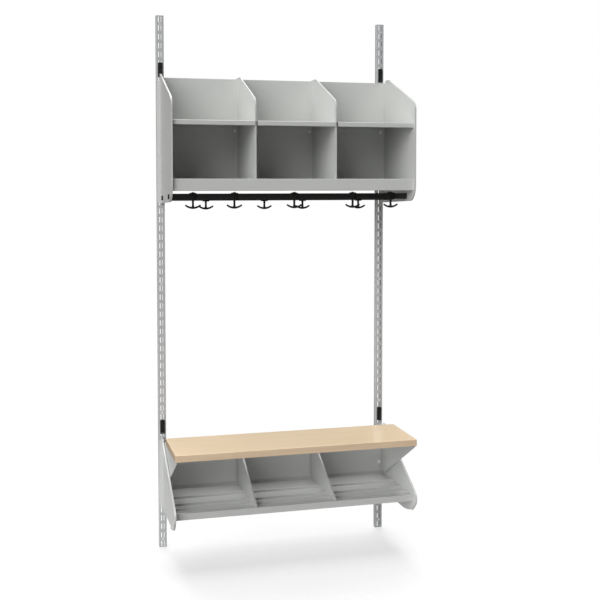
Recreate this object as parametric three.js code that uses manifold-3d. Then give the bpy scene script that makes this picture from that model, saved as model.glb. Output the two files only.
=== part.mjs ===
// Mudroom locker unit: wall-rail coat rack with cubby shelf, hook rails, bench and shoe shelf.
// Millimetres, +Z up. Origin: on the wall plane, midway between the two uprights, at their bottom ends.
// The front of the unit faces -Y and the wall is the plane Y = 0.
import * as THREE from 'three';
import { mergeVertices } from 'three/addons/utils/BufferGeometryUtils.js';
import Module from 'manifold-3d';

const wasm = await Module();
wasm.setup();

// ---------------------------------------------------------------- driving dimensions
const RAIL_SPACING = 855;            // upright centre to upright centre
const RAIL_HEIGHT = 1980;            // upright length
const RAIL_WIDTH = 28;
const RAIL_DEPTH = 20;
const RAIL_WALL = 2;
const RAIL_LIP = 6;                  // width of the returns along the uprights' back edges
const SLOT_PITCH = 32;               // vertical slot pitch
const SLOT_FIRST = 14;               // first slot centre above the bottom end
const SLOT_ROWS = 62;
const SLOT_OFFSET = 5;               // slot column either side of the upright's centre line
const SLOT_WIDTH = 3;
const SLOT_HEIGHT = 20;
const WALL_SCREW_FIRST = 30;         // lowest wall screw
const WALL_SCREW_PITCH = 480;
const WALL_SCREWS = 5;

const SHEET = 1.5;                   // shelf and panel sheet
const WEB = 1.8;                     // side panel sheet
const EDGE_TURN = 6;                 // outward-turned edge of the upper side panels, sheet included
const SHOE_EDGE_TURN = 6.5;          // the same edge of the shoe side panels
const DIVIDER_TURN = 5;              // turned edge of the upper dividers
const BEND = 0.9;                    // inner bend radius of the shelves
const HANG_Y = -20.4;                // rear face of everything that hangs on the uprights
const PANEL_Y = -22.8;               // rear face of the upper back panel
const GAP = 0.4;                     // clearance between neighbouring sheets

const SIDE_X = [-428.9, 446.3];         // web centres of the upper side panels
const DIVIDER_X = [-138.6, 152.8];   // web centres of the dividers, cubbies and shoe bays alike
const UNIT_FRONT = -347;
const UNIT_TOP = 1763;
const UNIT_BOTTOM = 1290;
const UNIT_FRONT_TOP = 1654;         // where the sloping top meets the front
const TOP_Y = -62;                   // where the level top ends and the slope begins
const SIDE_FLANGE_TOP = 1742;
const SIDE_TONGUES = [40, 41, 47, 53]; // slot rows that carry the upper side panels
const MID_SHELF_TOP = 1582;
const MID_LIP = 17;
const LOW_SHELF_TOP = 1381;
const LOW_LIP = 42;
const SHELF_FRONT = -336;
const DIVIDER_FRONT = -331;
const BACK_PANEL_TOP = 1753;
const OUTER_FLANGE_X = -441.2;       // outer edge of the left side panels' hanging flanges
const PANEL_SCREW_Z = 1562;

const HOOK_RAIL_H = 21;
const HOOK_RAIL_D = 8;
const HOOK_RAIL_WALL = 1.5;
const CAP_SHANK = [7, 2.2];          // half height and half depth of an end cap's shank
const CAP_HEAD = [8.6, 4.8, 5];      // half height, half depth and thickness of its head
const FRONT_RAIL = { y: -268, z: 1318.5 };
const REAR_RAIL = { y: -95, z: 1311.5 };
const FRONT_HOOK_X = [-347.5, -200.5, 17.5, 236.5, 382.5];
const REAR_HOOK_X = [-272.5, -52.5, 94.5, 314.5];
const HOOK_SPAN = 56;                // tip to tip
const HOOK_DROP = 32.5;              // lowest point below the rail
const HOOK_RISE = 15;                // tips above the lowest point
const HOOK_DEPTH = 6;
const HOOK_THICK = [7.6, 6];         // arm thickness at the stem and at the tip
const SLEEVE_LENGTH = 24;
const SLEEVE_WALL = 2.2;

const SEAT_TOP = 439;
const SEAT_THICK = 24;
const SEAT_Y = [-134, -382];
const SEAT_X = [-430.4, 446.4];
const BRACKET_X = [-423.5, 442.1];   // web centres of the seat brackets
const BRACKET_T = 2;
const BRACKET_TONGUES = [8, 10];
const SEAT_SCREW_Y = [-250, -349];
const SEAT_SCREW_X = [-414, 430];

const SHOE_SIDE_X = [-427.4, 446]; // web centres of the shoe side panels
const SHOE_TONGUES = [5, 12];
const SHOE_FLOOR = 218;
const SHOE_FRONT = -346;
const SHOE_LIP_TOP = 226;
const SHOE_LIP_BOTTOM = 203;
const SHOE_RIBS = [[-126, -149], [-211, -233], [-266, -287]]; // raised ribs across the shoe shelf
const RIB_HEIGHT = 6.5;
const SHOE_PANEL_X = [-414.5, 434.5];
const SHOE_SCREW_INSET = 6.5;        // left screw from the shoe back panel's end
const SHOE_PANEL_Z = [206, 392];
const SHOE_SCREW_Z = 264;

const PLUG_W = 16.5;
const PLUG_H = 52;
const PLUG_T = 4.5;
const PLUG_Z = [1756.4, 430];        // undersides of the upper and lower locking plugs
const PLUG_TONGUE_Z = 24.8;          // tongue centre above the plug's underside

const COLOR = {
  aluminium: 0xc2c3c4, sheet: 0xa6a8a6, black: 0x1a1a18, zinc: 0xb9bbbb, laminate: 0xe8cfac,
};

// ---------------------------------------------------------------- solids
function solid(geometry) {
  let g = geometry.clone();
  g.deleteAttribute('normal');
  g.deleteAttribute('uv');
  g = mergeVertices(g, 1e-4);
  const p = g.attributes.position.array;
  const tri = [];
  let volume = 0;
  for (let i = 0; i < g.index.count; i += 3) {
    const [a, b, c] = [g.index.getX(i), g.index.getX(i + 1), g.index.getX(i + 2)];
    if (a === b || b === c || c === a) continue;
    tri.push(a, b, c);
    const [A, B, C] = [a, b, c].map((k) => new THREE.Vector3(p[3 * k], p[3 * k + 1], p[3 * k + 2]));
    volume += A.dot(B.cross(C));
  }
  if (volume < 0) for (let i = 0; i < tri.length; i += 3) [tri[i], tri[i + 1]] = [tri[i + 1], tri[i]];
  return new wasm.Manifold(new wasm.Mesh({ numProp: 3, vertProperties: new Float32Array(p), triVerts: new Uint32Array(tri) }));
}

function geometryOf(manifold) {
  const m = manifold.getMesh();
  const g = new THREE.BufferGeometry();
  g.setAttribute('position', new THREE.BufferAttribute(new Float32Array(m.vertProperties), 3));
  g.setIndex(new THREE.BufferAttribute(new Uint32Array(m.triVerts), 1));
  g.computeVertexNormals();
  return g;
}

// box between two corners
function box(x0, x1, y0, y1, z0, z1) {
  const g = new THREE.BoxGeometry(Math.abs(x1 - x0), Math.abs(y1 - y0), Math.abs(z1 - z0));
  g.translate((x0 + x1) / 2, (y0 + y1) / 2, (z0 + z1) / 2);
  return solid(g);
}

function extruded(points, depth, xAxis, yAxis, zAxis, origin) {
  const shape = new THREE.Shape(points.map(([a, b]) => new THREE.Vector2(a, b)));
  const g = new THREE.ExtrudeGeometry(shape, { depth, bevelEnabled: false, steps: 1 });
  const m = new THREE.Matrix4().makeBasis(new THREE.Vector3(...xAxis), new THREE.Vector3(...yAxis), new THREE.Vector3(...zAxis));
  m.setPosition(new THREE.Vector3(...origin));
  g.applyMatrix4(m);
  return solid(g);
}

// outline in the (Y, Z) plane, extruded along X
const alongX = (points, x0, x1) => extruded(points, x1 - x0, [0, 1, 0], [0, 0, 1], [1, 0, 0], [x0, 0, 0]);
// outline in the (X, Z) plane, extruded from the back y0 to the front y1
const alongY = (points, y0, y1) => extruded(points, y0 - y1, [1, 0, 0], [0, 0, 1], [0, -1, 0], [0, y0, 0]);
// outline in the (X, Y) plane, extruded along Z
const alongZ = (points, z0, z1) => extruded(points, z1 - z0, [1, 0, 0], [0, 1, 0], [0, 0, 1], [0, 0, z0]);

// polygon with some corners rounded: each point is [a, b] or [a, b, radius]
function rounded(points, segments = 4) {
  const out = [];
  const n = points.length;
  for (let i = 0; i < n; i++) {
    const p = points[i];
    const r = p[2] || 0;
    if (!r) { out.push([p[0], p[1]]); continue; }
    const a = points[(i + n - 1) % n];
    const b = points[(i + 1) % n];
    const v1 = new THREE.Vector2(a[0] - p[0], a[1] - p[1]).normalize();
    const v2 = new THREE.Vector2(b[0] - p[0], b[1] - p[1]).normalize();
    const half = Math.acos(THREE.MathUtils.clamp(v1.dot(v2), -1, 1)) / 2;
    const cut = r / Math.tan(half);
    const sx = p[0] + v1.x * cut, sy = p[1] + v1.y * cut;
    const ex = p[0] + v2.x * cut, ey = p[1] + v2.y * cut;
    const mid = v1.clone().add(v2).normalize().multiplyScalar(r / Math.sin(half));
    const cx = p[0] + mid.x, cy = p[1] + mid.y;
    const a0 = Math.atan2(sy - cy, sx - cx);
    let a1 = Math.atan2(ey - cy, ex - cx);
    while (a1 - a0 > Math.PI) a1 -= 2 * Math.PI;
    while (a1 - a0 < -Math.PI) a1 += 2 * Math.PI;
    for (let k = 0; k <= segments; k++) {
      const t = a0 + (a1 - a0) * (k / segments);
      out.push([cx + r * Math.cos(t), cy + r * Math.sin(t)]);
    }
  }
  return out;
}

// closed strip of thickness t along an open run of points, on the left-hand side of the run
function strip(run, t) {
  const inner = run.map((p, i) => {
    const d1 = i > 0 ? new THREE.Vector2(p[0] - run[i - 1][0], p[1] - run[i - 1][1]).normalize() : null;
    const d2 = i < run.length - 1 ? new THREE.Vector2(run[i + 1][0] - p[0], run[i + 1][1] - p[1]).normalize() : null;
    const n1 = d1 ? new THREE.Vector2(-d1.y, d1.x) : null;
    const n2 = d2 ? new THREE.Vector2(-d2.y, d2.x) : null;
    if (!n1) return [p[0] + n2.x * t, p[1] + n2.y * t];
    if (!n2) return [p[0] + n1.x * t, p[1] + n1.y * t];
    const m = n1.clone().add(n2).normalize();
    const k = t / Math.max(0.35, m.dot(n1));
    return [p[0] + m.x * k, p[1] + m.y * k];
  });
  return [...run, ...inner.reverse()];
}

function cylinderY(x, z, radius, y0, y1, sides = 12) {
  const g = new THREE.CylinderGeometry(radius, radius, Math.abs(y1 - y0), sides);
  g.translate(x, (y0 + y1) / 2, z);
  return solid(g);
}

// turned profile [[radius, height], ...] from axis to axis; its height runs towards the front from y
function turnedY(profile, x, y, z, sides = 12) {
  const g = new THREE.LatheGeometry(profile.map(([r, h]) => new THREE.Vector2(r, h)), sides);
  g.rotateX(Math.PI);
  g.translate(x, y, z);
  return solid(g);
}

const group = new THREE.Group();

function add(name, manifold, color, roughness, metalness) {
  const mesh = new THREE.Mesh(geometryOf(manifold), new THREE.MeshStandardMaterial({ color, roughness, metalness }));
  mesh.name = name;
  group.add(mesh);
}
const addSheet = (name, m) => add(name, m, COLOR.sheet, 0.45, 0.2);
const addBlack = (name, m) => add(name, m, COLOR.black, 0.5, 0.0);
const addZinc = (name, m) => add(name, m, COLOR.zinc, 0.35, 0.8);

const slotZ = (k) => SLOT_FIRST + SLOT_PITCH * k;
const railX = [-RAIL_SPACING / 2, RAIL_SPACING / 2];
const PANEL_FRONT = PANEL_Y - SHEET;   // front face of the upper back panel

// tongue that passes a slot of the upright and hooks down behind its web
function tongue(x, k) {
  const z = slotZ(k);
  return box(x - 1, x + 1, HANG_Y - 1, -14.6, z - 9.7, z + 4).add(box(x - 1, x + 1, -17.6, -14.6, z - 18, z + 4));
}
const tongueX = (side) => railX[side < 0 ? 0 : 1] + SLOT_OFFSET;

// ---------------------------------------------------------------- uprights
function upright(x, panelHoles) {
  const w = RAIL_WIDTH / 2, d = -RAIL_DEPTH, t = RAIL_WALL;
  const body = alongZ(rounded([
    [x - w, 0], [x - w, d, 1.6], [x + w, d, 1.6], [x + w, 0], [x + w - RAIL_LIP, 0], [x + w - RAIL_LIP, -t], [x + w - t, -t], [x + w - t, d + t],
    [x - w + t, d + t], [x - w + t, -t], [x - w + RAIL_LIP, -t], [x - w + RAIL_LIP, 0],
  ], 3), 0, RAIL_HEIGHT);
  const cuts = [];
  for (let k = 0; k < SLOT_ROWS; k++) {
    for (const s of [-1, 1]) {
      const c = x + s * SLOT_OFFSET;
      cuts.push(box(c - SLOT_WIDTH / 2, c + SLOT_WIDTH / 2, d - 2, d + t + 2, slotZ(k) - SLOT_HEIGHT / 2, slotZ(k) + SLOT_HEIGHT / 2));
    }
  }
  for (let i = 0; i < WALL_SCREWS; i++) {
    // countersunk seat through the front web
    cuts.push(turnedY([[0, 2], [4.9, 2], [4.7, 0], [2.9, -1.8], [2.9, -4], [0, -4]], x, d, WALL_SCREW_FIRST + WALL_SCREW_PITCH * i));
  }
  for (const z of panelHoles) cuts.push(cylinderY(x, z, 2.2, d - 2, d + t + 2));
  return cuts.reduce((m, c) => m.subtract(c), body);
}
add('left_upright', upright(railX[0], []), COLOR.aluminium, 0.4, 0.6);
add('right_upright', upright(railX[1], [PANEL_SCREW_Z, SHOE_SCREW_Z]), COLOR.aluminium, 0.4, 0.6);

// ---------------------------------------------------------------- cubby unit: side panels
const topLine = (y) => UNIT_TOP - (Math.max(0, TOP_Y - y) * (UNIT_TOP - UNIT_FRONT_TOP)) / (TOP_Y - UNIT_FRONT);
const sideBottom = (y) => UNIT_BOTTOM + ((HANG_Y - y) * 12.5) / (HANG_Y - UNIT_FRONT);
const sideOutline = rounded([
  [HANG_Y, UNIT_BOTTOM], [HANG_Y, UNIT_TOP, 20], [TOP_Y, UNIT_TOP, 14], [UNIT_FRONT, UNIT_FRONT_TOP, 38],
  [UNIT_FRONT, sideBottom(UNIT_FRONT), 56], [-284, sideBottom(-284)],
], 6);

// hole for an end cap's shank
function hookRailPassage(rail, x0, x1) {
  const c = 0.3, [h, d] = CAP_SHANK;
  return box(x0, x1, rail.y - d - c, rail.y + d + c, rail.z - h - c, rail.z + h + c);
}

// side: -1 left (edge turned to -X), +1 right (edge turned to +X)
function sidePanel(xWeb, side) {
  const x0 = xWeb - WEB / 2, x1 = xWeb + WEB / 2;
  const run = [[-44, UNIT_TOP], ...sideOutline.slice(sideOutline.findIndex(([y]) => y < -44))];
  let m = alongX(sideOutline, x0, x1);
  m = m.add(side < 0 ? alongX(strip(run, WEB), x1 - EDGE_TURN, x1) : alongX(strip(run, WEB), x0, x0 + EDGE_TURN));
  const f = side < 0 ? [x0, x0 + 17] : [x1 - 17, x1];
  m = m.add(box(f[0], f[1], HANG_Y, HANG_Y - WEB, UNIT_BOTTOM, SIDE_FLANGE_TOP));
  // outer half of the hanging flange, over the upright's outer slot column
  if (side < 0) m = m.add(alongY([[OUTER_FLANGE_X, UNIT_BOTTOM + 4], [x1, UNIT_BOTTOM], [x1, SIDE_FLANGE_TOP], [x0 - 2, SIDE_FLANGE_TOP], [OUTER_FLANGE_X, SIDE_FLANGE_TOP - 6]], HANG_Y, HANG_Y - WEB));
  for (const k of SIDE_TONGUES) m = m.add(tongue(tongueX(side), k));
  m = m.subtract(hookRailPassage(FRONT_RAIL, x0 - 20, x1 + 20)).subtract(hookRailPassage(REAR_RAIL, x0 - 20, x1 + 20));
  if (side < 0) m = m.subtract(cylinderY(x0 + 9.3, PANEL_SCREW_Z, 2.2, -18, -26));
  return m;
}
addSheet('left_side_panel', sidePanel(SIDE_X[0], -1));
addSheet('right_side_panel', sidePanel(SIDE_X[1], 1));

// ---------------------------------------------------------------- cubby unit: back, dividers, shelves
const inL = SIDE_X[0] + WEB / 2 + GAP;
const inR = SIDE_X[1] - WEB / 2 - GAP;
const upperScrewX = [SIDE_X[0] - WEB / 2 + 9.3, DIVIDER_X[0] - 11, DIVIDER_X[1] - 11, railX[1]];
let backPanel = box(inL, inR, PANEL_Y, PANEL_FRONT, LOW_SHELF_TOP - LOW_LIP, BACK_PANEL_TOP);
for (const x of upperScrewX) backPanel = backPanel.subtract(cylinderY(x, PANEL_SCREW_Z, 2.2, -20, -27));
addSheet('back_panel', backPanel);

function divider(x) {
  const x0 = x - SHEET / 2, x1 = x + SHEET / 2;
  const yb = PANEL_FRONT - 0.3, z0 = LOW_SHELF_TOP + 0.3;
  const outline = rounded([[yb, z0], [yb, 1757], [-70, 1757, 14], [DIVIDER_FRONT, topLine(DIVIDER_FRONT) - 3, 38], [DIVIDER_FRONT, z0]], 6);
  const run = outline.slice(outline.findIndex(([y]) => y <= -60));
  return alongX(outline, x0, x1)
    .add(alongX(strip(run, SHEET), x0, x0 + DIVIDER_TURN))
    .add(alongY([[x0 - 17, z0], [x1, z0], [x1, 1757], [x0 - 3, 1756], [x0 - 8, 1753], [x0 - 17, 1744]], yb, yb - SHEET))
    .subtract(cylinderY(x - 11, PANEL_SCREW_Z, 2.2, -20, -30));
}
addSheet('left_divider', divider(DIVIDER_X[0]));
addSheet('right_divider', divider(DIVIDER_X[1]));

// shelf plates with a down-turned front lip and back flange
function shelf(x0, x1, yb, top, lip, flange) {
  const t = SHEET, f = SHELF_FRONT, b = top - lip, r = BEND, R = BEND + SHEET;
  return alongX(rounded([
    [yb, top, R], [f, top, R], [f, b, R], [f + 7, b], [f + 7, b + t], [f + t, b + t, r], [f + t, top - t, r],
    [yb - t, top - t, r], [yb - t, top - flange], [yb, top - flange],
  ], 3), x0, x1);
}
const bayX = [
  [inL, DIVIDER_X[0] - SHEET / 2 - GAP],
  [DIVIDER_X[0] + SHEET / 2 + GAP, DIVIDER_X[1] - SHEET / 2 - GAP],
  [DIVIDER_X[1] + SHEET / 2 + GAP, inR],
];
['left', 'middle', 'right'].forEach((n, i) => {
  let m = shelf(bayX[i][0], bayX[i][1], PANEL_FRONT - 2.5, MID_SHELF_TOP, MID_LIP, 11);
  // the front corner is cut away beside the divider's turned front edge
  if (i > 0) m = m.subtract(box(bayX[i][0] - 1, bayX[i][0] + 7, DIVIDER_FRONT + SHEET + 0.6, SHELF_FRONT - 1, MID_SHELF_TOP - 30, MID_SHELF_TOP + 5));
  addSheet(`${n}_middle_shelf`, m);
});

addSheet('bottom_shelf', shelf(inL, inR, PANEL_FRONT - GAP, LOW_SHELF_TOP, LOW_LIP, 20)
  .add(box(inL, inL + SHEET, -40, -320, LOW_SHELF_TOP - 16, LOW_SHELF_TOP - 0.5))
  .add(box(inR - SHEET, inR, -40, -320, LOW_SHELF_TOP - 16, LOW_SHELF_TOP - 0.5)));

// ---------------------------------------------------------------- hook rails and end caps
function rectYZ(rail, dy, dz, r) {
  return rounded([[rail.y + dy, rail.z - dz, r], [rail.y + dy, rail.z + dz, r], [rail.y - dy, rail.z + dz, r], [rail.y - dy, rail.z - dz, r]], 3);
}

function hookRail(rail) {
  const h = HOOK_RAIL_H / 2, d = HOOK_RAIL_D / 2, w = HOOK_RAIL_WALL;
  return alongX(rectYZ(rail, d, h, 1.2), inL, inR)
    .subtract(box(inL - 1, inR + 1, rail.y - d + w, rail.y + d - w, rail.z - h + w, rail.z + h - w));
}
add('front_hook_rail', hookRail(FRONT_RAIL), COLOR.black, 0.45, 0.3);
add('rear_hook_rail', hookRail(REAR_RAIL), COLOR.black, 0.45, 0.3);

// its shank passes the side panel's hole into the tube, its head lies on the panel's outer face
function endCap(rail, side) {
  const [h, d] = CAP_SHANK, [hh, hd, ht] = CAP_HEAD;
  const face = rectYZ(rail, hd, hh, 2.4);
  const x = side < 0 ? SIDE_X[0] - WEB / 2 - GAP : SIDE_X[1] + WEB / 2 + GAP;
  const end = x - side * 16;
  return alongX(face, Math.min(x, x + side * ht), Math.max(x, x + side * ht))
    .add(box(Math.min(x + side, end), Math.max(x + side, end), rail.y - d, rail.y + d, rail.z - h, rail.z + h));
}
addBlack('front_rail_cap_left', endCap(FRONT_RAIL, -1));
addBlack('front_rail_cap_right', endCap(FRONT_RAIL, 1));
addBlack('rear_rail_cap_left', endCap(REAR_RAIL, -1));
addBlack('rear_rail_cap_right', endCap(REAR_RAIL, 1));

// ---------------------------------------------------------------- double hooks
// sleeve round the rail, stem, and two upturned arms lying along the rail
function hookOutline(x, zb) {
  const [tMid, tEnd] = HOOK_THICK;
  const half = HOOK_SPAN / 2 - tEnd / 2;
  const rise = HOOK_RISE - tEnd / 2 - tMid / 2;
  const radius = (half * half + rise * rise) / (2 * rise);
  const reach = Math.asin(half / radius);
  const cz = zb + tMid / 2 + radius;
  const lower = [], upper = [];
  const n = 10;
  for (let i = 0; i <= n; i++) {
    const a = reach * ((2 * i) / n - 1);
    const t = (tMid + (tEnd - tMid) * Math.abs(a / reach)) / 2;
    lower.push([x + (radius + t) * Math.sin(a), cz - (radius + t) * Math.cos(a)]);
    upper.push([x + (radius - t) * Math.sin(a), cz - (radius - t) * Math.cos(a)]);
  }
  // half-round ends
  const tip = (s) => [1, 2, 3].map((i) => {
    const a = s * reach, th = (Math.PI * i) / 4, r = tEnd / 2;
    const out = [Math.sin(a), -Math.cos(a)], on = [s * Math.cos(a), s * Math.sin(a)];
    return [
      x + radius * Math.sin(a) + r * (Math.cos(th) * out[0] + Math.sin(th) * on[0]),
      cz - radius * Math.cos(a) + r * (Math.cos(th) * out[1] + Math.sin(th) * on[1]),
    ];
  });
  return [...lower, ...tip(1), ...upper.reverse(), ...tip(-1).reverse()];
}

function hook(rail, x) {
  const clear = 0.4;
  const ih = HOOK_RAIL_H / 2 + clear, id = HOOK_RAIL_D / 2 + clear;
  const oh = ih + SLEEVE_WALL, od = id + SLEEVE_WALL;
  const zb = rail.z - HOOK_RAIL_H / 2 - HOOK_DROP;
  const y0 = rail.y + HOOK_DEPTH / 2, y1 = rail.y - HOOK_DEPTH / 2;
  return alongX(rectYZ(rail, od, oh, 2.2), x - SLEEVE_LENGTH / 2, x + SLEEVE_LENGTH / 2)
    .add(box(x - 5, x + 5, rail.y - 3, rail.y + 3, rail.z + oh - 0.5, rail.z + oh + 2.6))
    .add(alongY(hookOutline(x, zb), y0, y1))
    .add(box(x - 3.7, x + 3.7, y1, y0, zb + 3, rail.z - oh + 0.6))
    .subtract(box(x - SLEEVE_LENGTH, x + SLEEVE_LENGTH, rail.y - id, rail.y + id, rail.z - ih, rail.z + ih));
}
FRONT_HOOK_X.forEach((x, i) => add(`front_hook_${i + 1}`, hook(FRONT_RAIL, x), COLOR.black, 0.5, 0.1));
REAR_HOOK_X.forEach((x, i) => add(`rear_hook_${i + 1}`, hook(REAR_RAIL, x), COLOR.black, 0.5, 0.1));

// ---------------------------------------------------------------- locking plugs
function plug(x, z) {
  const yb = -RAIL_DEPTH - 0.3, w = PLUG_W / 2;
  let m = alongY(rounded([[x - w, z, 2], [x + w, z, 2], [x + w, z + PLUG_H, 3], [x - w, z + PLUG_H, 3]], 3), yb, yb - PLUG_T)
    .add(box(x - 5.5, x + 5.5, yb - PLUG_T + 0.5, yb - PLUG_T - 2.2, z + 38, z + 43));
  for (const s of [-1, 1]) {
    const c = x + s * SLOT_OFFSET;
    m = m.add(box(c - 1.2, c + 1.2, -8.5, yb - 1, z + PLUG_TONGUE_Z - 2.5, z + PLUG_TONGUE_Z + 2.5));
  }
  // slit that straddles the top corner of the side panel
  return m.subtract(box(x - 2.9, x + 0.1, -19, -30, z - 1, z + 7.6));
}
addBlack('upper_left_plug', plug(railX[0], PLUG_Z[0]));
addBlack('upper_right_plug', plug(railX[1], PLUG_Z[0]));
addBlack('lower_left_plug', plug(railX[0], PLUG_Z[1]));
addBlack('lower_right_plug', plug(railX[1], PLUG_Z[1]));

// ---------------------------------------------------------------- bench
const seatUnder = SEAT_TOP - SEAT_THICK;
// solid turned about a vertical axis: profile [[radius, height above z], ...]
function turnedZ(profile, x, y, z, sides = 12) {
  const g = new THREE.LatheGeometry(profile.map(([r, h]) => new THREE.Vector2(r, h)), sides);
  g.rotateX(Math.PI / 2);
  g.translate(x, y, z);
  return solid(g);
}
// countersunk hole of a seat screw, from the seat's top face through the board and the ledge
const seatHole = (x, y) => turnedZ([[0, 2], [4.65, 2], [4.65, 0], [2.3, -2.35], [2.3, -30], [0, -30]], x, y, SEAT_TOP);
let seat = box(SEAT_X[0], SEAT_X[1], SEAT_Y[0], SEAT_Y[1], seatUnder, SEAT_TOP);
for (const x of SEAT_SCREW_X) for (const y of SEAT_SCREW_Y) seat = seat.subtract(seatHole(x, y));
add('seat_board', seat, COLOR.laminate, 0.3, 0.0);

function seatBracket(xWeb, side) {
  const x0 = xWeb - BRACKET_T / 2, x1 = xWeb + BRACKET_T / 2;
  const top = seatUnder - 0.3;
  const outline = rounded([
    [HANG_Y, 232], [HANG_Y, 382], [PANEL_Y - GAP, 382], [PANEL_Y - GAP, 402], [-124, top, 6],
    [-380, top, 1.5], [-372, 408, 4], [-58.3, 232],
  ], 3);
  let m = alongX(outline, x0, x1);
  // ledge under the seat
  const ledge = side < 0 ? [x0, x1 + 24] : [x0 - 24, x1];
  m = m.add(box(ledge[0], ledge[1], -150, -374, seatUnder - 0.3 - BRACKET_T, seatUnder - 0.3));
  // back flange behind the shoe back panel, with the tongues
  const f = side < 0 ? [x0, x0 + 20] : [x1 - 20, x1];
  m = m.add(box(f[0], f[1], HANG_Y, HANG_Y - WEB, 232, 382));
  for (const k of BRACKET_TONGUES) m = m.add(tongue(tongueX(side), k));
  for (const y of SEAT_SCREW_Y) m = m.subtract(seatHole(SEAT_SCREW_X[side < 0 ? 0 : 1], y));
  return m.subtract(cylinderY(side < 0 ? SHOE_PANEL_X[0] + SHOE_SCREW_INSET : railX[1], SHOE_SCREW_Z, 2.2, -18, -26));
}
addSheet('left_seat_bracket', seatBracket(BRACKET_X[0], -1));
addSheet('right_seat_bracket', seatBracket(BRACKET_X[1], 1));

// ---------------------------------------------------------------- shoe shelf
const shoeOutline = rounded([
  [PANEL_Y, 150], [PANEL_Y, 420, 3], [-352, 248, 20], [-375.5, 229, 14], [-375.5, 204, 25], [-340, 168, 20], [-290, 155, 50], [-255, 150],
], 4);

function shoeSide(xWeb, side) {
  const x0 = xWeb - WEB / 2, x1 = xWeb + WEB / 2;
  const run = shoeOutline.slice(shoeOutline.findIndex(([y, z]) => y < PANEL_Y - 0.5 && z > 400));
  let m = alongX(shoeOutline, x0, x1)
    .add(side < 0 ? alongX(strip(run, WEB), x1 - SHOE_EDGE_TURN, x1) : alongX(strip(run, WEB), x0, x0 + SHOE_EDGE_TURN));
  // hanging flange over the upright's outer slot column
  if (side < 0) m = m.add(alongY([[OUTER_FLANGE_X, 154], [x1, 150], [x1, 412], [x0 - 2, 412], [OUTER_FLANGE_X, 405]], PANEL_Y, PANEL_Y - WEB));
  // joggled tongues that pass behind the seat bracket
  const tx = tongueX(side);
  for (const k of SHOE_TONGUES) {
    const z = slotZ(k);
    m = m.add(box(Math.min(tx - 1, x0), Math.max(tx + 1, x1), HANG_Y, HANG_Y - 2, z - 9.7, z + 4))
      .add(box(x0, x1, HANG_Y, PANEL_Y - 1, z - 9.7, z + 4))
      .add(tongue(tx, k));
  }
  return m;
}
addSheet('left_shoe_side', shoeSide(SHOE_SIDE_X[0], -1));
addSheet('right_shoe_side', shoeSide(SHOE_SIDE_X[1], 1));

const shoeScrewX = [SHOE_PANEL_X[0] + SHOE_SCREW_INSET, railX[1]];
let shoeBack = box(SHOE_PANEL_X[0], SHOE_PANEL_X[1], PANEL_Y, PANEL_FRONT, SHOE_PANEL_Z[0], SHOE_PANEL_Z[1]);
for (const x of shoeScrewX) shoeBack = shoeBack.subtract(cylinderY(x, SHOE_SCREW_Z, 2.2, -20, -27));
addSheet('shoe_back_panel', shoeBack);

// ribbed shelf with a raised front lip, one bent sheet: its upper surface from the back edge to the lip's return
const shoeTop = [[PANEL_FRONT - 2.2, SHOE_FLOOR + 12], [PANEL_FRONT - 2.2, SHOE_FLOOR]];
for (const [a, b] of SHOE_RIBS) shoeTop.push([a, SHOE_FLOOR], [a - 4, SHOE_FLOOR + RIB_HEIGHT], [b + 4, SHOE_FLOOR + RIB_HEIGHT], [b, SHOE_FLOOR]);
shoeTop.push([SHOE_FRONT + 17, SHOE_FLOOR], [SHOE_FRONT + 12, SHOE_LIP_TOP], [SHOE_FRONT, SHOE_LIP_TOP], [SHOE_FRONT, SHOE_LIP_BOTTOM], [SHOE_FRONT + 7, SHOE_LIP_BOTTOM]);
addSheet('shoe_shelf', alongX(strip(shoeTop, SHEET), SHOE_SIDE_X[0] + WEB / 2 + GAP, SHOE_SIDE_X[1] - WEB / 2 - GAP));

function shoeDivider(x) {
  const x0 = x - SHEET / 2, x1 = x + SHEET / 2;
  const line = (y) => 336 + ((y + 127) * 108) / 218;
  const yb = PANEL_FRONT - GAP, yUp = PANEL_FRONT - 2.2 - GAP, z0 = SHOE_FLOOR + 0.4;
  const outline = [
    [yUp, z0], [yUp, SHOE_FLOOR + 13], [yb, SHOE_FLOOR + 13], [yb, line(yb)], [-345, line(-345)],
    [-345, SHOE_LIP_TOP + 0.5], [-331, SHOE_LIP_TOP + 0.5], [-327, z0],
    // notches over the shelf's ribs
    ...[...SHOE_RIBS].reverse().flatMap(([a, b]) => [[b - 0.3, z0], [b + 3.7, z0 + RIB_HEIGHT], [a - 3.7, z0 + RIB_HEIGHT], [a + 0.3, z0]]),
  ];
  return alongX(outline, x0, x1)
    .add(alongX(strip([[yb - 1, line(yb - 1)], [-344, line(-344)]], SHEET), x0, x0 + 6))
    .add(box(x0 - 8, x1, yb, yb - SHEET, SHOE_FLOOR + 16, line(yb) - 4));
}
addSheet('left_shoe_divider', shoeDivider(DIVIDER_X[0] - 2.3));
addSheet('right_shoe_divider', shoeDivider(DIVIDER_X[1] - 2.3));

// ---------------------------------------------------------------- screws
// countersunk wall screws, heads flush in the uprights; modelled as far as the wall plane
function wallScrew(x, z) {
  return turnedY([[0, 0], [4.3, 0], [2.4, -2], [2.4, -19.7], [0, -19.7]], x, -RAIL_DEPTH, z);
}
['left', 'right'].forEach((n, s) => {
  for (let i = 0; i < WALL_SCREWS; i++) addZinc(`${n}_wall_screw_${i + 1}`, wallScrew(railX[s], WALL_SCREW_FIRST + WALL_SCREW_PITCH * i));
});

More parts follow.
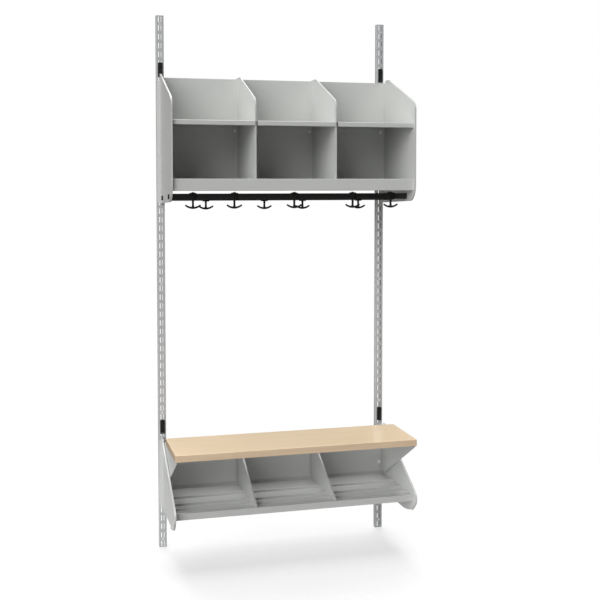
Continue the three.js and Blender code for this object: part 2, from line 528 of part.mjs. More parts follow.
// washer-head screw seated on a face at seatY, its shank running towards the wall
function panScrew(x, z, seatY, length) {
  return turnedY([[0, 3], [3.2, 2.7], [4.6, 1.5], [6.5, 1], [6.5, 0.3], [1.8, 0.3], [1.8, -length], [0, -length]], x, seatY, z);
}
const dividerFace = PANEL_FRONT - 0.3 - SHEET;
addZinc('back_panel_screw_1', panScrew(upperScrewX[0], PANEL_SCREW_Z, PANEL_FRONT, 3.9));
addZinc('back_panel_screw_2', panScrew(upperScrewX[1], PANEL_SCREW_Z, dividerFace, 8));
addZinc('back_panel_screw_3', panScrew(upperScrewX[2], PANEL_SCREW_Z, dividerFace, 8));
addZinc('back_panel_screw_4', panScrew(upperScrewX[3], PANEL_SCREW_Z, PANEL_FRONT, 12));
addZinc('shoe_back_screw_1', panScrew(shoeScrewX[0], SHOE_SCREW_Z, PANEL_FRONT, 3.9));
addZinc('shoe_back_screw_2', panScrew(shoeScrewX[1], SHOE_SCREW_Z, PANEL_FRONT, 12));

// seat screws, countersunk in the seat's top and driven down through the brackets' ledges
const seatScrew = (x, y) => turnedZ([[0, -0.1], [4.1, -0.1], [1.9, -2.3], [1.9, -28], [0, -28]], x, y, SEAT_TOP);
['left', 'right'].forEach((n, s) => {
  addZinc(`seat_screw_${n}_rear`, seatScrew(SEAT_SCREW_X[s], SEAT_SCREW_Y[0]));
  addZinc(`seat_screw_${n}_front`, seatScrew(SEAT_SCREW_X[s], SEAT_SCREW_Y[1]));
});

export default group;
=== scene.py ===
import math

import bmesh
import bpy
from mathutils import Matrix, Vector


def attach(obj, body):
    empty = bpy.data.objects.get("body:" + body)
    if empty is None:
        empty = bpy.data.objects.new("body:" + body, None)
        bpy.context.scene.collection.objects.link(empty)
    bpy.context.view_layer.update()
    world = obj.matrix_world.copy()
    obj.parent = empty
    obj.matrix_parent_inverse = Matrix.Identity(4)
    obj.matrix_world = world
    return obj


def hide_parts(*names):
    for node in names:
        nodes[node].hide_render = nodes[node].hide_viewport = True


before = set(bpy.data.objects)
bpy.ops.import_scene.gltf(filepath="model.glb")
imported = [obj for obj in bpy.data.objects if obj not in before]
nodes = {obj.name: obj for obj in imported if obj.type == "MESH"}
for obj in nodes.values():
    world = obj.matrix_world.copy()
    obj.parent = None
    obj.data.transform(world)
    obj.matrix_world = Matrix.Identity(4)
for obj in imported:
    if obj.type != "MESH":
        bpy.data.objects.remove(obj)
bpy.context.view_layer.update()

scene = bpy.context.scene

# ------------------------------------------------------------------ camera
YAW, PITCH = 14.96, -2.74
cam_data = bpy.data.cameras.new("camera")
cam_data.sensor_width = 36.0
cam_data.lens = 61.44
cam_data.shift_y = -0.1138
cam_data.clip_end = 60.0
camera = bpy.data.objects.new("camera", cam_data)
camera.location = (-0.9085, -3.813, 1.367)
camera.rotation_euler = (math.radians(90 + PITCH), 0.0, math.radians(-YAW))
scene.collection.objects.link(camera)
scene.camera = camera


# ------------------------------------------------------------------ material helpers
class Tree:
    """A node material with a few shortcuts. Coordinates are the object's own, in metres."""

    def __init__(self, name):
        self.mat = bpy.data.materials.new(name)
        self.mat.use_nodes = True
        self.t = self.mat.node_tree
        self.t.nodes.clear()
        self.out = self.t.nodes.new("ShaderNodeOutputMaterial")
        self.bsdf = self.t.nodes.new("ShaderNodeBsdfPrincipled")
        self.t.links.new(self.bsdf.outputs[0], self.out.inputs[0])
        self.coord = self.t.nodes.new("ShaderNodeTexCoord").outputs["Object"]

    def link(self, a, b):
        self.t.links.new(a, b)

    def set(self, **values):
        for key, value in values.items():
            self.bsdf.inputs[key.replace("_", " ")].default_value = value

    def mapped(self, scale, location=(0, 0, 0), rotation=(0, 0, 0)):
        n = self.t.nodes.new("ShaderNodeMapping")
        n.inputs["Scale"].default_value = scale
        n.inputs["Location"].default_value = location
        n.inputs["Rotation"].default_value = rotation
        self.link(self.coord, n.inputs["Vector"])
        return n.outputs[0]

    def noise(self, scale, vector=None, detail=3.0, rough=0.5, distortion=0.0):
        n = self.t.nodes.new("ShaderNodeTexNoise")
        n.inputs["Scale"].default_value = scale
        n.inputs["Detail"].default_value = detail
        n.inputs["Roughness"].default_value = rough
        n.inputs["Distortion"].default_value = distortion
        self.link(vector if vector is not None else self.coord, n.inputs["Vector"])
        return n.outputs["Fac"]

    def ramp(self, fac, stops):
        n = self.t.nodes.new("ShaderNodeValToRGB")
        e = n.color_ramp.elements
        while len(e) < len(stops):
            e.new(0.5)
        for el, (pos, col) in zip(e, stops):
            el.position = pos
            el.color = (*col, 1.0) if len(col) == 3 else col
        self.link(fac, n.inputs["Fac"])
        return n.outputs["Color"]

    def span(self, fac, lo, hi, a=0.3, b=0.7):
        n = self.t.nodes.new("ShaderNodeMapRange")
        n.inputs["From Min"].default_value = a
        n.inputs["From Max"].default_value = b
        n.inputs["To Min"].default_value = lo
        n.inputs["To Max"].default_value = hi
        self.link(fac, n.inputs["Value"])
        return n.outputs["Result"]

    def math(self, op, a, b):
        n = self.t.nodes.new("ShaderNodeMath")
        n.operation = op
        for i, v in enumerate((a, b)):
            if isinstance(v, (int, float)):
                n.inputs[i].default_value = v
            else:
                self.link(v, n.inputs[i])
        return n.outputs[0]

    def mix(self, fac, a, b, blend="MIX"):
        n = self.t.nodes.new("ShaderNodeMix")
        n.data_type = "RGBA"
        n.blend_type = blend
        for i, v in ((0, fac), (6, a), (7, b)):
            if isinstance(v, (int, float)):
                n.inputs[i].default_value = v
            elif isinstance(v, tuple):
                n.inputs[i].default_value = (*v, 1.0) if len(v) == 3 else v
            else:
                self.link(v, n.inputs[i])
        return n.outputs[2]

    def bump(self, height, strength, distance, normal=None):
        n = self.t.nodes.new("ShaderNodeBump")
        n.inputs["Strength"].default_value = strength
        n.inputs["Distance"].default_value = distance
        self.link(height, n.inputs["Height"])
        if normal is not None:
            self.link(normal, n.inputs["Normal"])
        return n.outputs["Normal"]


def powder_coat(name, base, spread=0.03, rough=(0.36, 0.46), metallic=0.0, grain=1400.0, peel=0.00012):
    """Satin powder coat: orange peel, fine speckle, and a slow drift of tone."""
    t = Tree(name)
    dark = tuple(c * (1 - spread) for c in base)
    light = tuple(min(1.0, c * (1 + spread)) for c in base)
    slow = t.noise(2.6, detail=3.0)
    tone = t.ramp(slow, [(0.3, dark), (0.7, light)])
    speck = t.noise(grain, detail=1.0)
    fleck = t.ramp(speck, [(0.34, tuple(c * 0.95 for c in base)), (0.5, base), (0.68, tuple(min(1.0, c * 1.05) for c in base))])
    t.link(t.mix(0.4, tone, fleck), t.bsdf.inputs["Base Color"])
    t.link(t.span(t.noise(34.0, detail=4.0), rough[0], rough[1]), t.bsdf.inputs["Roughness"])
    peel_h = t.noise(420.0, detail=2.0)
    n1 = t.bump(peel_h, 0.35, peel)
    t.link(t.bump(speck, 0.12, 0.00005, n1), t.bsdf.inputs["Normal"])
    t.set(Metallic=metallic)
    return t.mat


def silver_rail(name):
    """Silver-lacquered rolled profile: faint drawing lines along its length and fine metallic flake."""
    t = Tree(name)
    lines = t.noise(1.0, t.mapped((900.0, 900.0, 5.0)), detail=3.0, rough=0.6)
    flake = t.noise(2200.0, detail=1.0)
    slow = t.noise(3.0, t.mapped((1.0, 1.0, 2.0)), detail=3.0)
    c1 = t.ramp(lines, [(0.25, (0.515, 0.523, 0.530)), (0.75, (0.590, 0.598, 0.606))])
    c2 = t.ramp(flake, [(0.35, (0.520, 0.528, 0.536)), (0.65, (0.608, 0.616, 0.624))])
    c3 = t.mix(t.span(slow, 0.0, 0.35), c1, (0.612, 0.618, 0.625))
    t.link(t.mix(0.35, c3, c2), t.bsdf.inputs["Base Color"])
    t.link(t.span(t.noise(60.0, detail=4.0), 0.34, 0.46), t.bsdf.inputs["Roughness"])
    n1 = t.bump(lines, 0.10, 0.00006)
    t.link(t.bump(flake, 0.06, 0.00004, n1), t.bsdf.inputs["Normal"])
    t.set(Metallic=0.15)
    return t.mat


def black_moulded(name, base=(0.014, 0.014, 0.0135), rough=(0.40, 0.54)):
    """Injection-moulded black plastic with a spark-eroded surface."""
    t = Tree(name)
    fine = t.noise(1900.0, detail=3.0)
    flow = t.noise(26.0, detail=3.0)
    t.link(t.ramp(flow, [(0.3, base), (0.7, tuple(c * 1.5 for c in base))]), t.bsdf.inputs["Base Color"])
    t.link(t.span(flow, rough[0], rough[1]), t.bsdf.inputs["Roughness"])
    t.link(t.bump(fine, 0.25, 0.00006), t.bsdf.inputs["Normal"])
    t.set(Metallic=0.0, Specular_IOR_Level=0.22)
    return t.mat


def zinc_screw(name):
    t = Tree(name)
    lines = t.noise(1.0, t.mapped((2600.0, 2600.0, 300.0)), detail=2.0)
    stain = t.noise(420.0, detail=3.0)
    # The near-white diffuse base with little metallic is a painted reflection: the heads carry in their colour the
    # brightness of a bright room mirrored in them. The stain noise varies it at random.
    c = t.mix(t.span(stain, 0.0, 0.6), (0.97, 0.97, 0.97), (0.90, 0.90, 0.89))
    t.link(c, t.bsdf.inputs["Base Color"])
    t.link(t.span(stain, 0.22, 0.36), t.bsdf.inputs["Roughness"])
    t.link(t.bump(lines, 0.15, 0.00004), t.bsdf.inputs["Normal"])
    t.set(Metallic=0.1, Coat_Weight=0.5, Coat_Roughness=0.12)
    return t.mat


def maple(name, light, dark, edge=False):
    """Pale maple face or edge band: long soft figure, fine pores and a clear satin lacquer."""
    t = Tree(name)
    stretch = (1.0, 9.0, 9.0) if not edge else (1.6, 22.0, 30.0)
    figure = t.noise(2.2, t.mapped(stretch), detail=5.0, rough=0.55, distortion=0.6)
    fibre = t.noise(1.0, t.mapped((9.0, 340.0, 340.0)), detail=4.0, rough=0.6)
    pores = t.noise(1.0, t.mapped((60.0, 1500.0, 1500.0)), detail=2.0)
    c1 = t.ramp(figure, [(0.25, dark), (0.5, tuple((a + b) / 2 for a, b in zip(light, dark))), (0.75, light)])
    c2 = t.mix(t.span(fibre, 0.0, 0.30), c1, tuple(c * 0.86 for c in dark))
    c3 = t.mix(t.span(pores, 0.0, 0.16, 0.55, 0.8), c2, tuple(c * 0.6 for c in dark))
    t.link(c3, t.bsdf.inputs["Base Color"])
    t.link(t.span(fibre, 0.30, 0.40), t.bsdf.inputs["Roughness"])
    t.link(t.bump(fibre, 0.06, 0.00005), t.bsdf.inputs["Normal"])
    t.set(Coat_Weight=0.6, Coat_Roughness=0.09)
    return t.mat


SHEET = powder_coat("grey_powder_coat", (0.603, 0.612, 0.596), rough=(0.30, 0.38))
# A darker copy of the grey powder coat for the shoe shelf and the shoe dividers: painted shade, standing in for the
# shade under the seat.
SHOE_SHEET_PAINTED_SHADE = powder_coat("grey_powder_coat_shoe_shelf_painted_shade", (0.505, 0.512, 0.500), rough=(0.30, 0.38))
RAIL = silver_rail("silver_rail")
BLACK_RAIL = powder_coat("black_powder_coat", (0.013, 0.013, 0.0125), spread=0.15, rough=(0.30, 0.40))
BLACK = black_moulded("black_moulded")
# Screw finish whose near-white base colour is a painted reflection.
ZINC = zinc_screw("zinc_plated_painted_sheen")
SEAT_TOP = maple("maple_face", (0.985, 0.790, 0.552), (0.950, 0.738, 0.495))
SEAT_EDGE = maple("maple_edge", (0.78, 0.59, 0.40), (0.64, 0.48, 0.32), edge=True)
SEAT_BACKING = powder_coat("backing_laminate", (0.42, 0.42, 0.41), rough=(0.45, 0.60))


# ------------------------------------------------------------------ mesh helpers
def new_object(name, bm, material, smooth=True, angle=35.0):
    me = bpy.data.meshes.new(name)
    bm.normal_update()
    bm.to_mesh(me)
    bm.free()
    o = bpy.data.objects.new(name, me)
    scene.collection.objects.link(o)
    me.materials.append(material)
    shade(o, smooth, angle)
    return o


def shade(o, smooth=True, angle=35.0):
    me = o.data
    me.polygons.foreach_set("use_smooth", [smooth] * len(me.polygons))
    if smooth:
        me.set_sharp_from_angle(angle=math.radians(angle))
    me.update()


def bevel(o, width, segments=2, angle=40.0):
    m = o.modifiers.new("bevel", "BEVEL")
    m.width = width
    m.segments = segments
    m.limit_method = "ANGLE"
    m.angle_limit = math.radians(angle)
    m.miter_outer = "MITER_ARC"
    m.use_clamp_overlap = True
    w = o.modifiers.new("normals", "WEIGHTED_NORMAL")
    w.keep_sharp = True
    return m


def apply_modifiers(o):
    """The object's mesh as its modifiers leave it, with the modifiers gone."""
    bpy.context.view_layer.update()
    dg = bpy.context.evaluated_depsgraph_get()
    me = bpy.data.meshes.new_from_object(o.evaluated_get(dg))
    o.modifiers.clear()
    o.data = me


def rounded_polygon(points, segments=5):
    """[(a, b) or (a, b, radius), ...] to a list of (a, b), with the marked corners rounded."""
    out = []
    n = len(points)
    for i, p in enumerate(points):
        r = p[2] if len(p) > 2 else 0.0
        if not r:
            out.append((p[0], p[1]))
            continue
        a, b = points[i - 1], points[(i + 1) % n]
        p2 = Vector((p[0], p[1]))
        v1 = (Vector((a[0], a[1])) - p2).normalized()
        v2 = (Vector((b[0], b[1])) - p2).normalized()
        half = math.acos(max(-1.0, min(1.0, v1.dot(v2)))) / 2
        cut = r / math.tan(half)
        s, e = p2 + v1 * cut, p2 + v2 * cut
        c = p2 + (v1 + v2).normalized() * (r / math.sin(half))
        a0 = math.atan2(s.y - c.y, s.x - c.x)
        a1 = math.atan2(e.y - c.y, e.x - c.x)
        while a1 - a0 > math.pi:
            a1 -= 2 * math.pi
        while a1 - a0 < -math.pi:
            a1 += 2 * math.pi
        for k in range(segments + 1):
            t = a0 + (a1 - a0) * k / segments
            out.append((c.x + r * math.cos(t), c.y + r * math.sin(t)))
    return out


def prism(outline, axis, lo, hi):
    """bmesh of an outline extruded along axis x, y or z. The outline is in (Y, Z), (X, Z) or (X, Y)."""
    bm = bmesh.new()

    def at(p, h):
        return {"x": (h, p[0], p[1]), "y": (p[0], h, p[1]), "z": (p[0], p[1], h)}[axis]

    v0 = [bm.verts.new(at(p, lo)) for p in outline]
    v1 = [bm.verts.new(at(p, hi)) for p in outline]
    bm.faces.new(v0)
    bm.faces.new(v1)
    n = len(outline)
    for i in range(n):
        bm.faces.new((v0[i], v0[(i + 1) % n], v1[(i + 1) % n], v1[i]))
    bmesh.ops.recalc_face_normals(bm, faces=bm.faces)
    return bm


def box_mesh(lo, hi):
    return prism([(lo[0], lo[1]), (hi[0], lo[1]), (hi[0], hi[1]), (lo[0], hi[1])], "z", lo[2], hi[2])


def boolean(target, tool, operation):
    m = target.modifiers.new("boolean", "BOOLEAN")
    m.object = tool
    m.operation = operation
    m.solver = "EXACT"
    apply_modifiers(target)
    me = tool.data
    bpy.data.objects.remove(tool)
    bpy.data.meshes.remove(me)


def mm(v):
    return v / 1000.0


def copy_to(template, name, offset):
    me = template.data.copy()
    me.transform(Matrix.Translation(offset))
    o = bpy.data.objects.new(name, me)
    scene.collection.objects.link(o)
    return o


def discard(o):
    me = o.data
    bpy.data.objects.remove(o)
    bpy.data.meshes.remove(me)


# ------------------------------------------------------------------ CAD nodes that stay: sheet metal, uprights, rails
SHEETS = [
    "left_side_panel", "right_side_panel", "back_panel", "left_divider", "right_divider", "left_middle_shelf",
    "middle_middle_shelf", "right_middle_shelf", "bottom_shelf", "left_seat_bracket", "right_seat_bracket",
    "left_shoe_side", "right_shoe_side", "shoe_back_panel", "shoe_shelf", "left_shoe_divider", "right_shoe_divider",
]
for name in SHEETS:
    o = nodes[name]
    o.data.materials.clear()
    # The shoe shelf and shoe dividers take the darker copy of the powder coat, which is painted shade under the seat.
    o.data.materials.append(SHOE_SHEET_PAINTED_SHADE if name in ("shoe_shelf", "left_shoe_divider", "right_shoe_divider") else SHEET)
    shade(o, True, 30.0)
    bevel(o, 0.0007 if name.endswith(("side_panel", "shoe_side", "shoe_shelf")) else 0.00045, 2, 35.0)
for name in ("left_upright", "right_upright"):
    o = nodes[name]
    o.data.materials.clear()
    o.data.materials.append(RAIL)
    shade(o, True, 30.0)
for name in ("front_hook_rail", "rear_hook_rail"):
    o = nodes[name]
    o.data.materials.clear()
    o.data.materials.append(BLACK_RAIL)
    shade(o, True, 40.0)


# ------------------------------------------------------------------ double hooks
FRONT_RAIL, REAR_RAIL = (-268.0, 1318.5), (-95.0, 1311.5)


def hook_template():
    """Hook at X = 0 on a rail centred at Y = 0, Z = 0: sleeve, stem and a swept double arm with round tips."""
    span, drop, rise, t_mid, t_end = 56.0, 32.5, 15.0, 7.6, 6.0
    zb = -10.5 - drop
    half = span / 2 - t_end / 2
    up = rise - t_end / 2 - t_mid / 2
    radius = (half * half + up * up) / (2 * up)
    reach = math.asin(half / radius)
    cz = zb + t_mid / 2 + radius
    bm = bmesh.new()
    rings = []
    steps, sides = 36, 16
    # rounded-rectangle section, 6 mm deep, swept along the arm's arc
    stations = [(-reach + 2 * reach * i / steps, 1.0) for i in range(steps + 1)]
    tip = [0.25, 0.5, 0.75, 0.93, 0.995]

    def section(a, extra, shrink):
        k = min(1.0, abs(a) / reach)
        t = t_mid + (t_end - t_mid) * k
        d = 6.0 - 1.0 * k
        px, pz = radius * math.sin(a), cz - radius * math.cos(a)
        s = 1.0 if a > 0 else -1.0
        px += extra * s * math.cos(a)
        pz += extra * s * math.sin(a)
        out = (math.sin(a), -math.cos(a))
        ring = []
        for j in range(sides):
            th = 2 * math.pi * j / sides
            e = 0.62
            cy = math.copysign(abs(math.cos(th)) ** e, math.cos(th)) * d / 2 * shrink
            cr = math.copysign(abs(math.sin(th)) ** e, math.sin(th)) * t / 2 * shrink
            ring.append(bm.verts.new((mm(px + out[0] * cr), mm(cy), mm(pz + out[1] * cr))))
        return ring

    for q in reversed(tip):
        rings.append(section(-reach, (t_end / 2) * q, math.sqrt(max(0.0, 1 - q * q))))
    for a, _ in stations:
        rings.append(section(a, 0.0, 1.0))
    for q in tip:
        rings.append(section(reach, (t_end / 2) * q, math.sqrt(max(0.0, 1 - q * q))))
    for r0, r1 in zip(rings, rings[1:]):
        for j in range(sides):
            bm.faces.new((r0[j], r0[(j + 1) % sides], r1[(j + 1) % sides], r1[j]))
    bm.faces.new(rings[0])
    bm.faces.new(rings[-1])
    bmesh.ops.recalc_face_normals(bm, faces=bm.faces)
    arm = new_object("hook_template", bm, BLACK)

    # stem with flared foot and neck
    profile = [(-4.2, -11.9), (-3.7, -15.5), (-3.3, -22.0), (-3.4, -30.0), (-4.6, zb + 6.6), (-8.0, zb + 4.6), (8.0, zb + 4.6),
               (4.6, zb + 6.6), (3.4, -30.0), (3.3, -22.0), (3.7, -15.5), (4.2, -11.9)]
    bm = prism([(mm(a), mm(b)) for a, b in profile], "y", mm(-2.9), mm(2.9))
    stem = new_object("stem", bm, BLACK)
    m = stem.modifiers.new("bevel", "BEVEL")
    m.width, m.segments, m.limit_method, m.angle_limit = 0.0012, 3, "ANGLE", math.radians(60)
    apply_modifiers(stem)
    boolean(arm, stem, "UNION")

    # sleeve round the rail, open at both ends, with a low rib on top
    ih, idp, wall = 10.9, 4.4, 2.2
    bm = prism(rounded_polygon([(mm(a), mm(b), mm(2.0)) for a, b in
               [(idp + wall, -ih - wall), (idp + wall, ih + wall), (-idp - wall, ih + wall), (-idp - wall, -ih - wall)]], 6), "x", mm(-12), mm(12))
    sleeve = new_object("sleeve", bm, BLACK)
    m = sleeve.modifiers.new("bevel", "BEVEL")
    m.width, m.segments, m.limit_method, m.angle_limit = 0.0007, 2, "ANGLE", math.radians(60)
    apply_modifiers(sleeve)
    rib = new_object("rib", prism(rounded_polygon([(mm(-5), mm(ih + wall - 0.6)), (mm(5), mm(ih + wall - 0.6)), (mm(5), mm(ih + wall + 2.5), mm(1.2)), (mm(-5), mm(ih + wall + 2.5), mm(1.2))], 4), "y", mm(-2.9), mm(2.9)), BLACK)
    boolean(sleeve, rib, "UNION")
    boolean(sleeve, new_object("passage", box_mesh((mm(-30), mm(-idp), mm(-ih)), (mm(30), mm(idp), mm(ih))), BLACK), "DIFFERENCE")
    boolean(arm, sleeve, "UNION")
    shade(arm, True, 38.0)
    return arm


template = hook_template()
for prefix, xs, (y, z) in (("front", (-347.5, -200.5, 17.5, 236.5, 382.5), FRONT_RAIL), ("rear", (-272.5, -52.5, 94.5, 314.5), REAR_RAIL)):
    for i, x in enumerate(xs):
        name = "%s_hook_%d" % (prefix, i + 1)
        o = copy_to(template, name + "_moulded", (mm(x), mm(y), mm(z)))
        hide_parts(name)
        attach(o, name)
discard(template)


# ------------------------------------------------------------------ end caps of the hook rails
def end_cap(name, side, rail):
    y, z = rail
    x = -429.95 if side < 0 else 447.35
    face = rounded_polygon([(mm(y + a), mm(z + b), mm(2.2)) for a, b in [(4.7, -8.5), (4.7, 8.5), (-4.7, 8.5), (-4.7, -8.5)]], 6)
    lo, hi = (mm(x - 4.9), mm(x)) if side < 0 else (mm(x), mm(x + 4.9))
    plate = new_object(name + "_moulded", prism(face, "x", lo, hi), BLACK)
    m = plate.modifiers.new("bevel", "BEVEL")
    m.width, m.segments, m.limit_method, m.angle_limit = 0.0009, 3, "ANGLE", math.radians(60)
    apply_modifiers(plate)
    a, b = (x - 1, x + 15.5) if side < 0 else (x - 15.5, x + 1)
    boolean(plate, new_object("spigot", box_mesh((mm(a), mm(y - 2.1), mm(z - 6.9)), (mm(b), mm(y + 2.1), mm(z + 6.9))), BLACK), "UNION")
    shade(plate, True, 38.0)
    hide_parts(name)
    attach(plate, "unit")


end_cap("front_rail_cap_left", -1, FRONT_RAIL)
end_cap("front_rail_cap_right", 1, FRONT_RAIL)
end_cap("rear_rail_cap_left", -1, REAR_RAIL)
end_cap("rear_rail_cap_right", 1, REAR_RAIL)


# ------------------------------------------------------------------ locking plugs
def plug(name, x, z):
    yb, t, w, h = -20.3, 4.5, 8.25, 52.0
    outline = rounded_polygon([(mm(x - w), mm(z), mm(2)), (mm(x + w), mm(z), mm(2)), (mm(x + w), mm(z + h), mm(3)), (mm(x - w), mm(z + h), mm(3))], 6)
    o = new_object(name + "_moulded", prism(outline, "y", mm(yb - t), mm(yb)), BLACK)
    m = o.modifiers.new("bevel", "BEVEL")
    m.width, m.segments, m.limit_method, m.angle_limit = 0.0008, 3, "ANGLE", math.radians(60)
    apply_modifiers(o)
    ridge = [(mm(yb - t + 0.6), mm(z + 38.2)), (mm(yb - t + 0.6), mm(z + 42.8)), (mm(yb - t - 2.1), mm(z + 42.2), mm(0.8)), (mm(yb - t - 2.1), mm(z + 39.4), mm(0.8))]
    boolean(o, new_object("ridge", prism(rounded_polygon(ridge, 4), "x", mm(x - 5.4), mm(x + 5.4)), BLACK), "UNION")
    for s in (-1, 1):
        c = x + s * 5
        tongue = new_object("tongue", box_mesh((mm(c - 1.15), mm(yb - 1), mm(z + 22.4)), (mm(c + 1.15), mm(-8.6), mm(z + 27.2))), BLACK)
        boolean(o, tongue, "UNION")
    boolean(o, new_object("slit", box_mesh((mm(x - 2.9), mm(-32), mm(z - 3)), (mm(x + 0.1), mm(-18), mm(z + 7.6))), BLACK), "DIFFERENCE")
    shade(o, True, 38.0)
    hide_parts(name)
    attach(o, name)


plug("upper_left_plug", -427.5, 1756.4)
plug("upper_right_plug", 427.5, 1756.4)
plug("lower_left_plug", -427.5, 430.0)
plug("lower_right_plug", 427.5, 430.0)


# ------------------------------------------------------------------ screws
def turned(profile, sides=32):
    """bmesh of a profile [(radius, height), ...] turned round +Z, closed on its axis at both ends."""
    bm = bmesh.new()
    rings = []
    for r, h in profile:
        if r <= 1e-9:
            rings.append([bm.verts.new((0, 0, mm(h)))])
        else:
            rings.append([bm.verts.new((mm(r) * math.cos(2 * math.pi * j / sides), mm(r) * math.sin(2 * math.pi * j / sides), mm(h))) for j in range(sides)])
    for a, b in zip(rings, rings[1:]):
        for j in range(sides):
            k = (j + 1) % sides
            if len(a) == 1:
                bm.faces.new((a[0], b[j], b[k]))
            elif len(b) == 1:
                bm.faces.new((a[j], a[k], b[0]))
            else:
                bm.faces.new((a[j], a[k], b[k], b[j]))
    bmesh.ops.recalc_face_normals(bm, faces=bm.faces)
    return bm


def cross_recess(o, depth, size, top):
    """Cuts a cross recess into a screw head whose face is at height top."""
    for a, b in ((size, 0.42), (0.42, size)):
        cutter = new_object("cut", box_mesh((mm(-a), mm(-b), mm(top - depth)), (mm(a), mm(b), mm(top + 2))), ZINC)
        boolean(o, cutter, "DIFFERENCE")


def screw_templates():
    wall = new_object("wall_screw", turned([(0, -19.6), (2.0, -19.6), (2.35, -18.8), (2.35, -2.0), (4.0, -0.25), (4.25, -0.12), (4.25, -0.04), (4.1, -0.01), (0, -0.01)]), ZINC)
    cross_recess(wall, 1.6, 2.3, 0.0)
    pan = new_object("pan_screw", turned([(0, -3.8), (1.5, -3.8), (1.75, -3.5), (1.75, 0.32), (6.2, 0.32), (6.45, 0.5), (6.45, 0.8), (6.2, 1.0), (5.2, 1.15), (4.7, 1.35), (4.3, 1.8), (3.6, 2.35), (2.6, 2.75), (1.4, 2.93), (0, 2.98)]), ZINC)
    cross_recess(pan, 1.5, 2.2, 2.9)
    flat = new_object("flat_screw", turned([(0, -27.9), (1.2, -27.9), (1.8, -27.0), (1.8, -2.35), (3.95, -0.25), (4.1, -0.16), (4.1, -0.06), (3.98, -0.02), (0, -0.02)]), ZINC)
    cross_recess(flat, 1.5, 2.1, 0.0)
    return wall, pan, flat


wall_t, pan_t, flat_t = screw_templates()
FACE_OUT = Matrix.Rotation(math.radians(90), 4, "X")  # +Z of a template to -Y


def place_screw(template, name, x, y, z, turn, pose=FACE_OUT):
    me = template.data.copy()
    me.transform(Matrix.Translation((mm(x), mm(y), mm(z))) @ pose @ Matrix.Rotation(turn, 4, "Z"))
    o = bpy.data.objects.new(name + "_turned", me)
    scene.collection.objects.link(o)
    shade(o, True, 35.0)
    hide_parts(name)
    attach(o, "unit")


turn = 0.35
for side, x in (("left", -427.5), ("right", 427.5)):
    for i in range(5):
        place_screw(wall_t, "%s_wall_screw_%d" % (side, i + 1), x, -20.0, 30 + 480 * i, turn)
        turn += 1.1
for name, x, y, z in (
    ("back_panel_screw_1", -420.5, -24.3, 1562), ("back_panel_screw_2", -149.6, -26.1, 1562), ("back_panel_screw_3", 141.8, -26.1, 1562),
    ("back_panel_screw_4", 427.5, -24.3, 1562), ("shoe_back_screw_1", -408.0, -24.3, 264), ("shoe_back_screw_2", 427.5, -24.3, 264),
):
    place_screw(pan_t, name, x, y, z, turn)
    turn += 1.1
for n, x in (("left", -414.0), ("right", 430.0)):
    for e, y in (("rear", -250.0), ("front", -349.0)):
        place_screw(flat_t, "seat_screw_%s_%s" % (n, e), x, y, 438.9, turn, Matrix.Identity(4))
        turn += 1.1
for template in (wall_t, pan_t, flat_t):
    discard(template)


# ------------------------------------------------------------------ seat board: core, face laminate and edge band
def seat():
    x0, x1, y0, y1, z0, z1 = -430.4, 446.4, -382.0, -134.0, 415.0, 439.0
    r = 1.6
    section = rounded_polygon([(mm(y0), mm(z0), mm(r)), (mm(y0), mm(z1), mm(r)), (mm(y1), mm(z1), mm(r)), (mm(y1), mm(z0), mm(r))], 6)
    bm = bmesh.new()
    xs = [x0, x0 + 0.35, x0 + 1.1, x1 - 1.1, x1 - 0.35, x1]
    inset = [1.0, 0.35, 0.0, 0.0, 0.35, 1.0]
    cy, cz = mm((y0 + y1) / 2), mm((z0 + z1) / 2)
    hy, hz = mm((y1 - y0) / 2), mm((z1 - z0) / 2)
    rings = []
    for x, s in zip(xs, inset):
        ky, kz = (hy - mm(s)) / hy, (hz - mm(s)) / hz
        rings.append([bm.verts.new((mm(x), cy + (p[0] - cy) * ky, cz + (p[1] - cz) * kz)) for p in section])
    n = len(section)
    for a, b in zip(rings, rings[1:]):
        for j in range(n):
            bm.faces.new((a[j], a[(j + 1) % n], b[(j + 1) % n], b[j]))
    bm.faces.new(rings[0])
    bm.faces.new(rings[-1])
    bmesh.ops.recalc_face_normals(bm, faces=bm.faces)
    o = new_object("seat_board_laminated", bm, SEAT_TOP, angle=50.0)
    o.data.materials.append(SEAT_EDGE)
    o.data.materials.append(SEAT_BACKING)
    for p in o.data.polygons:
        if p.normal.z < 0.72:
            p.material_index = 1 if p.normal.z > -0.72 else 2
    for x in (-414.0, 430.0):
        for y in (-250.0, -349.0):
            sink = new_object("sink", turned([(0, -30), (2.25, -30), (2.25, -2.35), (4.6, 0), (4.6, 2), (0, 2)]), SEAT_TOP)
            sink.data.transform(Matrix.Translation((mm(x), mm(y), mm(439.0))))
            boolean(o, sink, "DIFFERENCE")
    shade(o, True, 50.0)
    w = o.modifiers.new("normals", "WEIGHTED_NORMAL")
    w.keep_sharp = True
    w.weight = 100
    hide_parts("seat_board")
    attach(o, "unit")
    return o


seat()

# ------------------------------------------------------------------ floor
bm = bmesh.new()
bmesh.ops.create_circle(bm, cap_ends=True, segments=96, radius=2.6)
bmesh.ops.translate(bm, verts=bm.verts, vec=(0.0, -0.5, -0.004))
floor_tree = Tree("pale_floor")
floor_tree.set(Roughness=0.7)
grain = floor_tree.noise(40.0, detail=3.0)
floor_tree.link(floor_tree.ramp(grain, [(0.3, (0.93, 0.93, 0.93)), (0.7, (0.95, 0.95, 0.95))]), floor_tree.bsdf.inputs["Base Color"])
radial = floor_tree.t.nodes.new("ShaderNodeVectorMath")
radial.operation = "DISTANCE"
floor_tree.link(floor_tree.coord, radial.inputs[0])
radial.inputs[1].default_value = (0.0, -0.5, 0.0)
fade = floor_tree.span(radial.outputs["Value"], 0.4, 0.0, 0.6, 2.2)
floor_tree.link(fade, floor_tree.bsdf.inputs["Alpha"])
floor = new_object("floor", bm, floor_tree.mat, smooth=False)

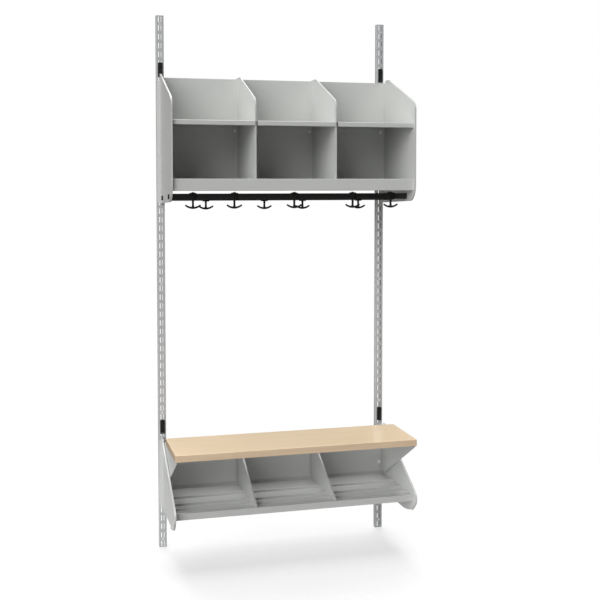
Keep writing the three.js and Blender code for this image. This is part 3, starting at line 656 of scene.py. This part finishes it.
# ------------------------------------------------------------------ light
world = bpy.data.worlds.new("studio")
scene.world = world
world.use_nodes = True
wt = world.node_tree
wt.nodes.clear()
w_out = wt.nodes.new("ShaderNodeOutputWorld")
w_bg = wt.nodes.new("ShaderNodeBackground")
w_cam = wt.nodes.new("ShaderNodeBackground")
w_cam.inputs["Color"].default_value = (1.0, 1.0, 1.0, 1.0)
w_cam.inputs["Strength"].default_value = 1.0
w_mix = wt.nodes.new("ShaderNodeMixShader")
w_path = wt.nodes.new("ShaderNodeLightPath")
w_coord = wt.nodes.new("ShaderNodeTexCoord")
w_sep = wt.nodes.new("ShaderNodeSeparateXYZ")
w_ramp = wt.nodes.new("ShaderNodeValToRGB")
wt.links.new(w_coord.outputs["Generated"], w_sep.inputs[0])
w_map = wt.nodes.new("ShaderNodeMapRange")
w_map.inputs["From Min"].default_value = -1.0
w_map.inputs["From Max"].default_value = 1.0
wt.links.new(w_sep.outputs["Z"], w_map.inputs["Value"])
wt.links.new(w_map.outputs[0], w_ramp.inputs["Fac"])
WORLD = [(0.0, 0.03), (0.47, 0.03), (0.53, 0.04), (1.0, 0.05)]
els = w_ramp.color_ramp.elements
while len(els) < len(WORLD):
    els.new(0.5)
for el, (pos, v) in zip(els, WORLD):
    el.position = pos
    el.color = (v, v, v, 1.0)
wt.links.new(w_ramp.outputs["Color"], w_bg.inputs["Color"])
w_bg.inputs["Strength"].default_value = 1.0
wt.links.new(w_path.outputs["Is Camera Ray"], w_mix.inputs["Fac"])
wt.links.new(w_bg.outputs[0], w_mix.inputs[1])
wt.links.new(w_cam.outputs[0], w_mix.inputs[2])
wt.links.new(w_mix.outputs[0], w_out.inputs["Surface"])


def softbox(name, azimuth, elevation, strength, spread=40.0):
    """Distant soft light. Azimuth 0 is the room side (-Y), -90 the left (-X), 180 the wall side."""
    d = bpy.data.lights.new(name, "SUN")
    d.energy = strength
    d.angle = math.radians(spread)
    o = bpy.data.objects.new(name, d)
    a, e = math.radians(azimuth), math.radians(elevation)
    o.rotation_euler = Vector((math.sin(a) * math.cos(e), -math.cos(a) * math.cos(e), math.sin(e))).to_track_quat("Z", "Y").to_euler()
    scene.collection.objects.link(o)
    return o


softbox("overhead", 0, 88, 1.85)
softbox("overhead_rear", 180, 58, 1.75)
softbox("key", -40, 30, 1.34)
softbox("left_low", -65, 5, 1.02)
softbox("front_left_low", -40, 5, 0.43)
softbox("left_high", -90, 58, 0.25)
softbox("floor_bounce", 0, -15, 0.13)

scene.view_settings.view_transform = "Standard"
scene.view_settings.look = "None"
